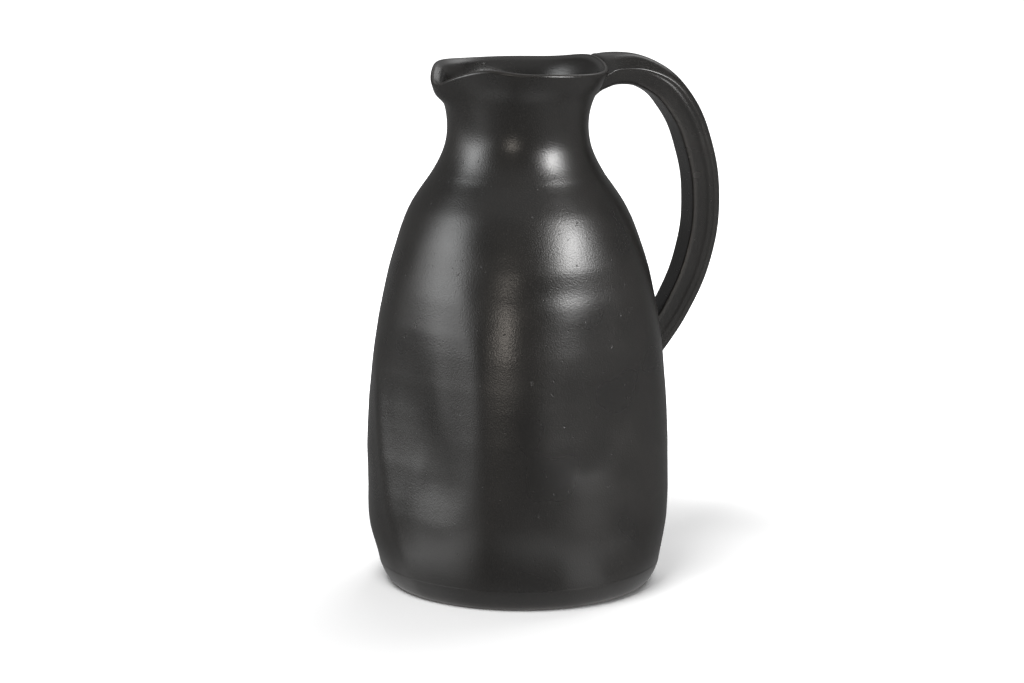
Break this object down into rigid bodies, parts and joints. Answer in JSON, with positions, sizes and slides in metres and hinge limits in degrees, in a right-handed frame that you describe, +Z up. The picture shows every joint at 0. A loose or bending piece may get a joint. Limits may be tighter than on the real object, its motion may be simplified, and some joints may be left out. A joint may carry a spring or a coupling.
{
  "type": "stoneware carafe",
  "caption": "Black glazed stoneware carafe with a pinched belly, a narrow neck, a pulled pouring lip and a strap handle from rim to belly.",
  "frame": {"origin": "middle of the flat underside, on the axis of the neck", "axes": "+Z up along the axis of the neck, +X from the axis towards the handle, the pouring lip towards -X"},
  "size_m": [0.1595, 0.1301, 0.2289],
  "materials": {
    "black_glaze": "satin black glaze with fine pits",
    "handle_glaze": "satin black glaze, thinner and browner on the edges",
    "base_stoneware": "satin black glaze on the side, bare dark clay underneath"
  },
  "bodies": {
    "root": {"floor_slab": "base_stoneware", "belly_wall": "black_glaze", "shoulder_wall": "black_glaze", "neck_and_lip": "black_glaze", "handle_strap": "handle_glaze", "upper_handle_lute": "handle_glaze", "lower_handle_lute": "handle_glaze"}
  },
  "joints": []
}
